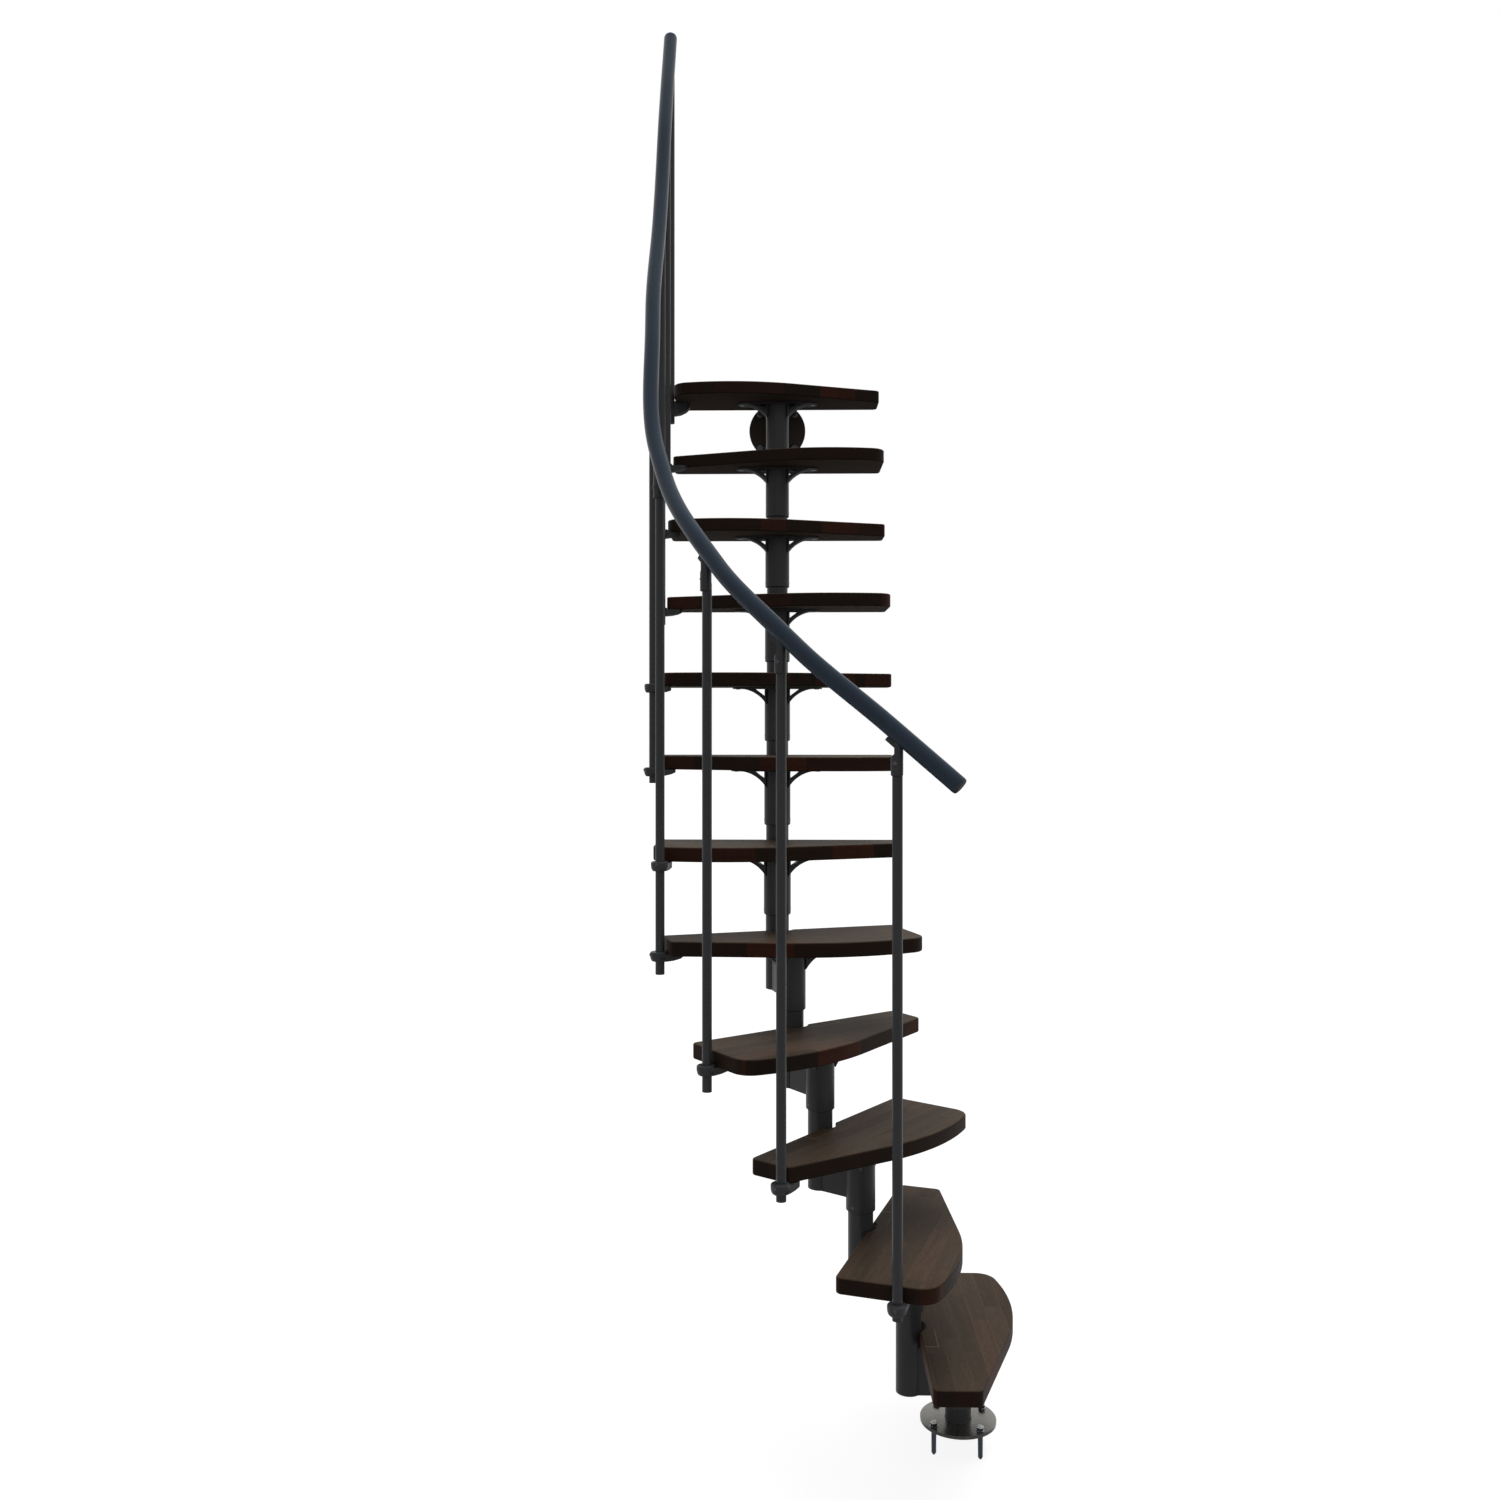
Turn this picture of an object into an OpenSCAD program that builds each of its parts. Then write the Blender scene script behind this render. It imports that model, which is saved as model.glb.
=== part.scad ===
// Space-saver staircase of twelve paddle-shaped treads on a modular steel spine.
// The climb starts at the base plate, goes towards -X, winds a quarter turn to the right
// and ends at a wall flange under the top tread, heading for +Y.
// Origin: centre of the base plate's underside, +Z up, millimetres.

/* [Climb] */
// Height from one tread top to the next
rise = 225; // [215:1:235]
// Distance between the axes of neighbouring columns
going = 118; // [112:1:126]
// Angle that the whole stair turns through
turn_angle = 90; // [60:5:100]
// Number of equal joints that share the turn
turn_joints = 5; // [4:1:6]

/* [Treads] */
// Length of a tread across the climb
tread_len = 636; // [560:2:720]
// Thickness of a tread
tread_t = 37; // [30:1:45]
// Distance from the column axis to the straight back edge
tread_back = 95; // [85:1:105]
// Distance from the column axis to the foremost point of the belly
tread_front = 148; // [130:1:170]
// Distance from the column axis to the belly, measured towards the wide end
belly_x = 150; // [100:5:180]
// Radius of the belly
belly_r = 570; // [400:10:800]
// Angle between the front edge and the back edge on the narrow side
narrow_taper = 20.5; // [15:0.5:24]
// Angle between the front edge and the back edge on the wide side
wide_taper = 12.8; // [8:0.2:16]
// Corner radius at the front of the wide end
wide_corner = 50; // [30:1:60]
// Radius of the other three corners
small_corner = 15; // [8:1:20]
// Rounding of the top and bottom edges
edge_r = 4; // [2:0.5:6]
// Gap between a tread and the tube that passes behind it
notch_gap = 10; // [6:1:14]

/* [Spine] */
// Outer diameter of the tube that rises into the next sleeve
tube_d = 61; // [56:1:66]
// Wall of the tubes and sleeves
wall = 4.6; // [3:0.2:6]
// Radial clearance of a tube in its sleeve
slide_gap = 0.4; // [0.2:0.1:1]
// Gap between the base plate and the lower end of the first sleeve
foot_gap = 30; // [15:1:60]
// Height of the closed end of a tube above the lower end of the sleeve before it
arm_raise = 31; // [20:1:45]
// Width of the channel that joins a sleeve to the next tube
arm_w = 46; // [36:1:52]
// Sheet thickness of the channel
arm_t = 4; // [3:0.5:6]
// Chamfer at the lower end of a sleeve
sleeve_chamfer = 2.5; // [1:0.5:4]

/* [Tread supports] */
// Length of the plate under a tread
plate_len = 250; // [220:2:280]
// Width of the plate under a tread
plate_w = 60; // [50:1:66]
// Thickness of the plate under a tread
plate_t = 5; // [4:0.5:8]
// Reach of a gusset from the sleeve
gusset_reach = 60; // [50:1:70]
// Depth of a gusset below the plate
gusset_drop = 43; // [36:1:50]
// Width of a gusset along the climb
gusset_w = 46; // [36:1:52]
// Radius of the hollow curve under a gusset
gusset_r = 90; // [70:5:120]

/* [Base and wall] */
// Diameter of the base plate and of the wall flange
disc_d = 180; // [160:2:200]
// Thickness of the base plate and of the wall flange
disc_t = 8; // [6:1:12]
// Pitch circle of the four bolts
bolt_pcd = 153; // [135:1:165]
// Diameter of the bolt holes
bolt_hole = 13; // [11:0.5:14]
// Diameter of the floor anchors
anchor_d = 12; // [8:1:12]
// Depth of the floor anchors below the base plate
anchor_depth = 58; // [40:2:80]
// Turn of the floor anchors about the column
anchor_turn = 35; // [0:5:90]

/* [Balusters] */
// Treads that the balusters stand on, from the bottom up
baluster_treads = [2, 3, 4, 5, 7, 9, 11, 12]; // [2:1:12] each
// Place of each baluster along the end of its tread, measured ahead of the column
baluster_along = [-50, -4, 0, 40, -30, -10, -50, -10]; // [-60:2:60] each
// Distance from each baluster's tread top down to its lower end
baluster_drop = [67, 72, 94, 88, 73, 80, 80, 100]; // [62:1:110] each
// Diameter of a baluster
baluster_d = 23; // [18:1:26]
// Wall of a baluster
baluster_wall = 1.5; // [1:0.25:3]
// Gap between the end of a tread and a baluster
baluster_gap = 4; // [3:1:10]
// Length of a bracket from its baluster's axis to its tip
bracket_len = 60; // [54:1:76]
// Width of a bracket's tongue
bracket_w = 34; // [26:1:38]
// Radius of a bracket's head
bracket_r = 22; // [18:1:26]
// Distance of the head's axis outside the baluster's axis
bracket_offset = 3; // [0:1:5]
// Rise of a bracket's head above the underside of its tread
bracket_lip = 6; // [0:1:10]
// Depth of a bracket below the underside of its tread
bracket_h = 18; // [14:1:24]
// Depth of the bracket under the top tread
top_bracket_h = 38; // [20:1:44]

/* [Handrail] */
// Height of the rail's axis over the tread of each baluster
rail_over = [1197, 1195, 1168, 1200, 1184, 1136, 1065, 1098]; // [1000:1:1250] each
// Diameter of the handrail
rail_d = 40.5; // [34:0.5:46]
// Distance of the rail's axis outside the balusters' axes
rail_offset = 2; // [0:1:8]
// Length of rail before the first baluster
rail_start = 175; // [100:5:220]
// Length of rail after the last baluster
rail_end = 15; // [15:5:80]
// Plumb distance from the rail's underside to the shoulder of a connector
rail_joint = 31; // [22:1:40]
// Length of a connector below its shoulder
cap_len = 37; // [30:1:60]
// Length of solid connector between its shoulder and the top of the baluster
cap_solid = 18; // [8:1:24]
// Distance of a connector's axis outside the baluster's axis
cap_offset = 3.5; // [0:0.5:5]
// Length of the saddle under the rail
saddle_len = 38; // [30:1:60]
// Width of the saddle
saddle_w = 13; // [10:1:20]
// Thickness of the saddle below the rail
saddle_t = 9; // [4:1:12]

/* [Hidden] */

steps = 12;
turn_step = turn_angle / turn_joints;
tube_r = tube_d / 2;
bore_r = tube_r + slide_gap;
sleeve_r = bore_r + wall;
plate_top = -tread_t;
plate_bottom = plate_top - plate_t;
sleeve_drop = rise - disc_t - foot_gap;
sleeve_len = sleeve_drop + plate_bottom;
arm_drop = sleeve_drop - arm_raise;
tube_top_gap = 6;
notch_r = tube_r + notch_gap;
arm_gap = 2;
arm_h = arm_drop + plate_bottom - arm_gap;
bolt_count = 4;
bolt_r = bolt_pcd / 2;
wall_y = going;
baluster_r = baluster_d / 2;
baluster_x = tread_len / 2 + baluster_gap + baluster_r;
rail_r = rail_d / 2;
$fn = 64;

// Heading of a tread, measured from +Y towards -X
function heading(j) = max(0, turn_angle - (j - 1) * turn_step);
function ahead(j) = [-sin(heading(j)), cos(heading(j))];
// Plan position of a column axis
function axis_of(j) = j == 1 ? [0, 0] : axis_of(j - 1) + going * ahead(j - 1);
// Plan position of the point p of tread j's frame, and the way back
function from_tread(j, p) = axis_of(j) + p[0] * [cos(heading(j)), sin(heading(j))] + p[1] * ahead(j);
function to_tread(j, q) =
  let(v = q - axis_of(j)) [v * [cos(heading(j)), sin(heading(j))], v * ahead(j)];
// Wide end of a tread: right on odd treads, left on even ones
function wide_side(j) = j % 2 == 1 ? 1 : -1;

// Places its children in the frame of tread j: x to the climber's right, y ahead, z from the top
module at_tread(j) {
  translate([axis_of(j)[0], axis_of(j)[1], j * rise])
    rotate([0, 0, heading(j)])
      children();
}

// ---- Tread outline ----

function unit(v) = v / norm(v);
// Arc that rounds the corner q between p and s
function corner(p, q, s, r, n) =
  let(
    a = unit(p - q),
    b = unit(s - q),
    half = acos(max(-1, min(1, a * b))) / 2,
    centre = q + unit(a + b) * r / sin(half),
    from = q + a * r / tan(half) - centre,
    to = q + b * r / tan(half) - centre,
    start = atan2(from[1], from[0]),
    turn = atan2(from[0] * to[1] - from[1] * to[0], from * to)
  )
  [for (i = [0:n]) centre + r * [cos(start + turn * i / n), sin(start + turn * i / n)]];

half_len = tread_len / 2;
belly_half = (narrow_taper + wide_taper) / 2;
belly_skew = (narrow_taper - wide_taper) / 2;
belly_reach = belly_r / cos(belly_half);
belly_pt = [belly_x - belly_reach * sin(belly_skew),
            belly_r - tread_front - belly_reach * cos(belly_skew)];
narrow_front = [-half_len, belly_pt[1] + (belly_pt[0] + half_len) * tan(narrow_taper)];
wide_front = [half_len, belly_pt[1] + (half_len - belly_pt[0]) * tan(wide_taper)];
narrow_back = [-half_len, tread_back];
wide_back = [half_len, tread_back];
notch_half = acos((going - tread_back) / notch_r);
notch_steps = 8;
notch = [for (i = [0:notch_steps])
  let(a = -90 + notch_half * (1 - 2 * i / notch_steps))
  [notch_r * cos(a), going + notch_r * sin(a)]];

// Counter-clockwise outline with the wide end on +x
tread_outline = concat(
  corner(wide_back, narrow_back, narrow_front, small_corner, 3),
  corner(narrow_back, narrow_front, belly_pt, small_corner, 3),
  corner(narrow_front, belly_pt, wide_front, belly_r, 12),
  corner(belly_pt, wide_front, wide_back, wide_corner, 6),
  corner(wide_front, wide_back, narrow_back, small_corner, 3),
  notch
);

function left_of(v) = [-v[1], v[0]];
// Outline drawn in by d all round
function inset(pts, d) =
  let(n = len(pts))
  [for (i = [0:n - 1])
    let(
      before = left_of(unit(pts[i] - pts[(i + n - 1) % n])),
      after = left_of(unit(pts[(i + 1) % n] - pts[i]))
    )
    pts[i] + d * (before + after) / (1 + before * after)];

// Slab between z = -t and 0 with its edges rounded over, closed by fans about the column axis
module rounded_slab(outline, t, r) {
  n = len(outline);
  turns = [0, 45, 90];
  low = [for (a = turns) [r * (1 - sin(a)), -t + r * (1 - cos(a))]];
  high = [for (i = [2:-1:0]) [low[i][0], -t - low[i][1]]];
  levels = concat(low, high);
  rings = [for (l = levels) [for (p = inset(outline, l[0])) [p[0], p[1], l[1]]]];
  last = (len(levels) - 1) * n;
  hubs = [[0, 0, -t], [0, 0, 0]];
  points = concat([for (ring = rings) for (p = ring) p], hubs);
  sides = [for (k = [0:len(levels) - 2]) for (i = [0:n - 1])
    [k * n + i, (k + 1) * n + i, (k + 1) * n + (i + 1) % n, k * n + (i + 1) % n]];
  floor_fan = [for (i = [0:n - 1]) [last + n, i, (i + 1) % n]];
  top_fan = [for (i = [0:n - 1]) [last + n + 1, last + (i + 1) % n, last + i]];
  polyhedron(points, concat(floor_fan, sides, top_fan));
}

module tread(j) {
  color([0.24, 0.17, 0.13])
    at_tread(j)
      mirror([wide_side(j) == 1 ? 0 : 1, 0, 0])
        rounded_slab(tread_outline, tread_t, edge_r);
}

// ---- Spine ----

steel = [0.2, 0.2, 0.22];

// Web under the plate beside the sleeve, hollowed by a curve below and a triangle inside
module gusset_profile() {
  reach = gusset_reach + wall;
  chord = norm([reach, gusset_drop]);
  tilt = atan2(gusset_drop, reach);
  sag = sqrt(pow(gusset_r, 2) - pow(chord / 2, 2));
  mid = [reach / 2, -gusset_drop / 2];
  hollow = mid + sag * [sin(tilt), -cos(tilt)];
  difference() {
    polygon([[0, 0], [reach, 0], [0, -gusset_drop]]);
    translate(hollow)
      circle(r = gusset_r, $fn = 96);
    polygon([[wall, 0], [reach * 0.46, 0], [wall, -gusset_drop * 0.44]]);
  }
}

module gusset() {
  translate([sleeve_r - wall, gusset_w / 2, plate_bottom])
    rotate([90, 0, 0])
      linear_extrude(gusset_w)
        gusset_profile();
}

module support_plate() {
  translate([0, 0, plate_bottom]) {
    translate([-(plate_len - plate_w) / 2, -plate_w / 2, 0])
      cube([plate_len - plate_w, plate_w, plate_t]);
    for (side = [-1, 1])
      translate([side * (plate_len - plate_w) / 2, 0, 0])
        cylinder(d = plate_w, h = plate_t);
  }
}

module sleeve_outside() {
  translate([0, 0, -sleeve_drop])
    rotate_extrude()
      polygon([[0, 0], [sleeve_r - sleeve_chamfer, 0], [sleeve_r, sleeve_chamfer],
               [sleeve_r, sleeve_len], [0, sleeve_len]]);
}

// Channel, open at the top, between the sleeve and whatever stands at y = far
module arm(far) {
  translate([-arm_w / 2, 0, -arm_drop])
    difference() {
      cube([arm_w, far, arm_h]);
      translate([arm_t, -1, arm_t])
        cube([arm_w - 2 * arm_t, far + 2, arm_h]);
    }
}

module sleeve_bore() {
  translate([0, 0, -sleeve_drop - 1])
    cylinder(r = bore_r, h = sleeve_len + 1);
}

// Sleeve, supports and channel, with the closed tube that rises behind into the next sleeve
module spine_module(j) {
  tube_up = rise + plate_bottom - tube_top_gap;
  color(steel)
    at_tread(j)
      difference() {
        union() {
          sleeve_outside();
          support_plate();
          gusset();
          mirror([1, 0, 0])
            gusset();
          if (j < steps) {
            arm(going);
            translate([0, going, -arm_drop])
              cylinder(r = tube_r, h = arm_drop + tube_up);
          } else {
            arm(wall_y - disc_t);
          }
        }
        sleeve_bore();
        if (j < steps)
          translate([0, going, -arm_drop + arm_t])
            cylinder(r = tube_r - wall, h = arm_drop + tube_up);
      }
}

// ---- Base and wall ----

module bolt_circle(turn) {
  for (i = [0:bolt_count - 1])
    rotate([0, 0, turn + i * 360 / bolt_count])
      translate([bolt_r, 0, 0])
        children();
}

module base_plate() {
  color([0.45, 0.44, 0.42])
    difference() {
      cylinder(d = disc_d, h = disc_t, $fn = 96);
      bolt_circle(anchor_turn)
        translate([0, 0, -1])
          cylinder(d = bolt_hole, h = disc_t + 2, $fn = 32);
    }
}

// Tube that stands on the base plate inside the first sleeve
module base_tube() {
  foot_top = rise + plate_bottom - tube_top_gap;
  color(steel)
    translate([0, 0, disc_t])
      difference() {
        cylinder(r = tube_r, h = foot_top - disc_t);
        translate([0, 0, -1])
          cylinder(r = tube_r - wall, h = foot_top);
      }
}

module anchor() {
  washer_t = 2;
  nut_h = 9;
  stud_up = disc_t + washer_t + nut_h + 4;
  translate([0, 0, -anchor_depth])
    cylinder(d = anchor_d, h = anchor_depth + stud_up, $fn = 32);
  translate([0, 0, disc_t])
    cylinder(d = anchor_d * 1.9, h = washer_t, $fn = 32);
  translate([0, 0, disc_t + washer_t])
    cylinder(d = anchor_d * 1.7, h = nut_h, $fn = 6);
}

module base_anchors() {
  color([0.5, 0.5, 0.5])
    bolt_circle(anchor_turn)
      anchor();
}

// Round plate on the face of the upper floor, behind the arm of the top module
module wall_flange() {
  flange_z = -arm_drop + arm_h / 2;
  color(steel)
    at_tread(steps)
      translate([0, wall_y, flange_z])
        rotate([90, 0, 0])
          difference() {
            cylinder(d = disc_d, h = disc_t, $fn = 96);
            bolt_circle(45)
              translate([0, 0, -1])
                cylinder(d = bolt_hole, h = disc_t + 2, $fn = 32);
          }
}

// ---- Handrail ----

last_baluster = len(baluster_treads) - 1;
rail_knots = [for (i = [0:last_baluster])
  let(
    j = baluster_treads[i],
    p = from_tread(j, [-baluster_x - rail_offset, baluster_along[i]])
  )
  [p[0], p[1], j * rise + rail_over[i]]];
// One more knot beyond each end steers the rail
knots = concat(
  [2 * rail_knots[0] - rail_knots[1]],
  rail_knots,
  [2 * rail_knots[last_baluster] - rail_knots[last_baluster - 1]]
);
// Direction of the rail over baluster i, led by the nearer neighbour
function rail_dir(i) =
  let(a = knots[i + 1] - knots[i], b = knots[i + 2] - knots[i + 1])
  unit(unit(a) * norm(b) + unit(b) * norm(a));
// The rail runs straight over each saddle and curves from one saddle to the next
straight_below = 60;
straight_above = 26;
rail_parts = 8;
function bend(a, b, c, d, t) =
  let(reach = norm(c - a))
  pow(1 - t, 2) * ((1 + 2 * t) * a + t * reach * b) + t * t * ((3 - 2 * t) * c - (1 - t) * reach * d);
rail_path = concat(
  [rail_knots[0] - rail_start * rail_dir(0)],
  [for (i = [0:last_baluster - 1]) for (k = [0:rail_parts])
    bend(rail_knots[i] + straight_above * rail_dir(i), rail_dir(i),
         rail_knots[i + 1] - straight_below * rail_dir(i + 1), rail_dir(i + 1), k / rail_parts)],
  [rail_knots[last_baluster] + rail_end * rail_dir(last_baluster)]
);
function path_dir(path, i) =
  unit(path[min(i + 1, len(path) - 1)] - path[max(i - 1, 0)]);
// Level axis square to the rail, then the one that completes the frame
function side_of(d) = unit(cross(d, [0, 0, 1]));
function ring_at(p, d, r, n) =
  let(s = side_of(d), u = cross(s, d))
  [for (k = [0:n - 1]) p + r * (cos(360 * k / n) * s + sin(360 * k / n) * u)];

module handrail() {
  n = 18;
  count = len(rail_path);
  points = [for (i = [0:count - 1])
    for (p = ring_at(rail_path[i], path_dir(rail_path, i), rail_r, n)) p];
  sides = [for (i = [0:count - 2]) for (k = [0:n - 1])
    [i * n + k, (i + 1) * n + k, (i + 1) * n + (k + 1) % n, i * n + (k + 1) % n]];
  start_face = [[for (k = [0:n - 1]) k]];
  end_face = [[for (k = [n - 1:-1:0]) (count - 1) * n + k]];
  color([0.18, 0.21, 0.27])
    polyhedron(points, concat(start_face, sides, end_face));
}

// Turns +Z to the direction d and moves to p
module along(p, d) {
  translate(p)
    rotate([0, acos(d[2]), atan2(d[1], d[0])])
      children();
}

module end_cap() {
  lid_r = rail_r - 0.5;
  lid_t = 7;
  soft = 5;
  rotate_extrude()
    difference() {
      square([lid_r, lid_t]);
      translate([lid_r - soft, lid_t - soft])
        difference() {
          square([soft + 1, soft + 1]);
          circle(r = soft, $fn = 32);
        }
    }
}

module handrail_caps() {
  last = len(rail_path) - 1;
  color([0.1, 0.1, 0.12]) {
    along(rail_path[0], -rail_dir(0))
      end_cap();
    along(rail_path[last], rail_dir(last_baluster))
      end_cap();
  }
}

// ---- Balusters ----

sliding = 0.2;
function baluster_at(i) =
  from_tread(baluster_treads[i], [-baluster_x, baluster_along[i]]);
// Level part of the rail's direction over baluster i, which is the cosine of its slope
function rail_level(i) = norm([rail_dir(i)[0], rail_dir(i)[1]]);
// Drop from the rail's axis to its underside, measured plumb
function rail_under(i) = rail_r / rail_level(i);
cap_wall = 2;
cap_r = baluster_r + cap_wall;
function shoulder(i) = rail_knots[i][2] - rail_under(i) - rail_joint;
function baluster_top(i) = shoulder(i) - cap_solid;

module baluster(i) {
  foot = baluster_treads[i] * rise - baluster_drop[i];
  floor_t = 2;
  color(steel)
    translate([baluster_at(i)[0], baluster_at(i)[1], foot])
      difference() {
        cylinder(r = baluster_r, h = baluster_top(i) - foot, $fn = 32);
        translate([0, 0, floor_t])
          cylinder(r = baluster_r - baluster_wall, h = baluster_top(i) - foot, $fn = 32);
      }
}

// Rounded head around a baluster, from its lip down to a narrower foot
module bracket_head(h) {
  soft = 4;
  foot_r = bracket_r - 7;
  foot_curve = 15;
  translate([-bracket_offset, 0, 0])
    rotate_extrude()
      polygon(concat(
        [[0, bracket_lip], [bracket_r - soft, bracket_lip]],
        [for (a = [30:30:90])
          [bracket_r - soft * (1 - sin(a)), bracket_lip - soft * (1 - cos(a))]],
        [for (a = [0:15:90])
          [foot_r + (bracket_r - foot_r) * cos(a), -h + foot_curve * (1 - sin(a))]],
        [[0, -h]]
      ));
}

// Tongue that thins towards its round tip
module bracket_tongue(h) {
  intersection() {
    translate([0, bracket_w / 2, 0])
      rotate([90, 0, 0])
        linear_extrude(bracket_w)
          polygon([[0, 0], [bracket_len, 0], [bracket_len, -0.35 * h], [bracket_len - 3, -0.5 * h],
                   [0.8 * bracket_len, -0.7 * h], [0.5 * bracket_len, -0.92 * h],
                   [baluster_r, -h], [0, -h]]);
    union() {
      translate([0, -bracket_w / 2, -h])
        cube([bracket_len - bracket_w / 2, bracket_w, h]);
      translate([bracket_len - bracket_w / 2, 0, -h])
        cylinder(d = bracket_w, h = h, $fn = 48);
    }
  }
}

// Room for the end of the tread beside the lip
module bracket_relief() {
  seat = 0.3;
  translate([baluster_r + baluster_gap - seat, -bracket_r - 1, 0])
    cube([bracket_r, 2 * bracket_r + 2, bracket_lip + 1]);
}

// Bracket under tread j, holding a tube at the point p of the tread's frame
module bracket(j, p, turn, h) {
  at_tread(j)
    translate([p[0], p[1], -tread_t])
      rotate([0, 0, turn])
        difference() {
          union() {
            bracket_head(h);
            bracket_tongue(h);
          }
          translate([0, 0, -h - 1])
            cylinder(r = baluster_r + sliding, h = h + bracket_lip + 2, $fn = 32);
          if (p[0] < -half_len)
            bracket_relief();
        }
}

// A tread with no baluster of its own holds the one below it, by a bracket at its wide corner
hold_point = [wide_corner - half_len, -tread_front / 2];
module holding_bracket(i) {
  j = baluster_treads[i] + 1;
  p = to_tread(j, baluster_at(i));
  v = hold_point - p;
  bracket(j, p, atan2(v[1], v[0]), bracket_h);
}

module baluster_brackets() {
  color(steel)
    for (i = [0:last_baluster]) {
      bracket(baluster_treads[i], [-baluster_x, baluster_along[i]], 0,
              i == last_baluster ? top_bracket_h : bracket_h);
      if (i < last_baluster && baluster_treads[i + 1] > baluster_treads[i] + 1)
        holding_bracket(i);
    }
}

// Shell outside the top of a baluster, in the rail's bearing: x up the rail, y outwards.
// Above its shoulder it is cut away uphill and rises to the rail downhill.
module connector_body(h) {
  edge = 2;
  uphill = 2.5;
  difference() {
    intersection() {
      translate([0, cap_offset, -cap_len])
        rotate_extrude()
          polygon([[0, 0], [cap_r - edge, 0], [cap_r, edge], [cap_r, cap_len + h], [0, cap_len + h]]);
      translate([0, cap_offset + cap_r + 1, 0])
        rotate([90, 0, 0])
          linear_extrude(2 * cap_r + 2)
            polygon([[-cap_r - 1, -cap_len - 1], [cap_r + 1, -cap_len - 1], [cap_r + 1, -1],
                     [uphill, cap_r - uphill], [uphill, h + 1], [-cap_r - 1, h + 1]]);
    }
    translate([0, 0, -cap_len - 1])
      cylinder(r = baluster_r + sliding, h = cap_len - cap_solid + 1 + sliding, $fn = 32);
  }
}

// Body and saddle in one piece, cut to the rail
module connector(i) {
  seat_gap = 0.4;
  reach = 100;
  wrap = 6;
  saddle_below = 12;
  p = rail_knots[i];
  d = rail_dir(i);
  contact = p[2] - rail_under(i);
  bearing = atan2(d[1], d[0]);
  difference() {
    union() {
      translate([baluster_at(i)[0], baluster_at(i)[1], shoulder(i)])
        rotate([0, 0, bearing])
          connector_body(rail_joint + wrap);
      translate([p[0], p[1], contact])
        rotate([0, -asin(d[2]), bearing])
          translate([-saddle_below, -saddle_w / 2, -saddle_t])
            cube([saddle_len, saddle_w, saddle_t + wrap]);
    }
    along(p - reach * d, d)
      cylinder(r = rail_r + seat_gap, h = 2 * reach);
  }
}

module rail_connectors() {
  color(steel)
    for (i = [0:last_baluster])
      connector(i);
}

base_plate();
base_tube();
base_anchors();
spine_module(1);  // module_01
spine_module(2);  // module_02
spine_module(3);  // module_03
spine_module(4);  // module_04
spine_module(5);  // module_05
spine_module(6);  // module_06
spine_module(7);  // module_07
spine_module(8);  // module_08
spine_module(9);  // module_09
spine_module(10);  // module_10
spine_module(11);  // module_11
spine_module(12);  // module_12
tread(1);  // tread_01
tread(2);  // tread_02
tread(3);  // tread_03
tread(4);  // tread_04
tread(5);  // tread_05
tread(6);  // tread_06
tread(7);  // tread_07
tread(8);  // tread_08
tread(9);  // tread_09
tread(10);  // tread_10
tread(11);  // tread_11
tread(12);  // tread_12
baluster(0);  // baluster_1
baluster(1);  // baluster_2
baluster(2);  // baluster_3
baluster(3);  // baluster_4
baluster(4);  // baluster_5
baluster(5);  // baluster_6
baluster(6);  // baluster_7
baluster(7);  // baluster_8
baluster_brackets();
rail_connectors();
handrail();
handrail_caps();
wall_flange();
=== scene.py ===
"""Looks of a modular space-saver staircase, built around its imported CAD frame.

Everything is in metres in the CAD frame: origin under the base plate, +Z up,
the climb starting towards -X and ending at a wall face on +Y.
"""

import math

import bmesh
import bpy
from mathutils import Matrix, Vector


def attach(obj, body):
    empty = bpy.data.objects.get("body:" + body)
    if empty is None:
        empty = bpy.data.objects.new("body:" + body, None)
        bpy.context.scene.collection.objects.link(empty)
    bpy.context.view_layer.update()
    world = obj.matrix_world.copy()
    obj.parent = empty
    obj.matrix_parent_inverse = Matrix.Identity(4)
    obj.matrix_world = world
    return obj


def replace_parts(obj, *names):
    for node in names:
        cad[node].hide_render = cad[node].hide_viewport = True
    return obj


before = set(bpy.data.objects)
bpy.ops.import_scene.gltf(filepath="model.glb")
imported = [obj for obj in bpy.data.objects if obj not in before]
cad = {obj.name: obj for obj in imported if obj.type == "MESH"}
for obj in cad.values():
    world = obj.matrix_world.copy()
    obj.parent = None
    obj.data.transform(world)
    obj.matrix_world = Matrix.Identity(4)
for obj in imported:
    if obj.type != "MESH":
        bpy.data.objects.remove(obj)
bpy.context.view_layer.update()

# ---- Dimensions, as in the CAD ----

MM = 0.001

STEPS = 12
RISE = 225 * MM
GOING = 118 * MM
TURN_ANGLE = math.radians(90)
TURN_JOINTS = 5

TREAD_LEN = 636 * MM
TREAD_T = 37 * MM
TREAD_BACK = 95 * MM
TREAD_FRONT = 148 * MM
BELLY_X = 150 * MM
BELLY_R = 570 * MM
NARROW_TAPER = math.radians(20.5)
WIDE_TAPER = math.radians(12.8)
WIDE_CORNER = 50 * MM
SMALL_CORNER = 15 * MM
TREAD_EDGE = 4 * MM
NOTCH_GAP = 10 * MM

TUBE_R = 30.5 * MM
SLEEVE_WALL = 4.6 * MM
SLIDE_GAP = 0.4 * MM
SLEEVE_R = TUBE_R + SLIDE_GAP + SLEEVE_WALL
SLEEVE_DROP = 187 * MM
ARM_DROP = 156 * MM
ARM_W = 46 * MM
ARM_GAP = 2 * MM
PLATE_T = 5 * MM

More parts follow.
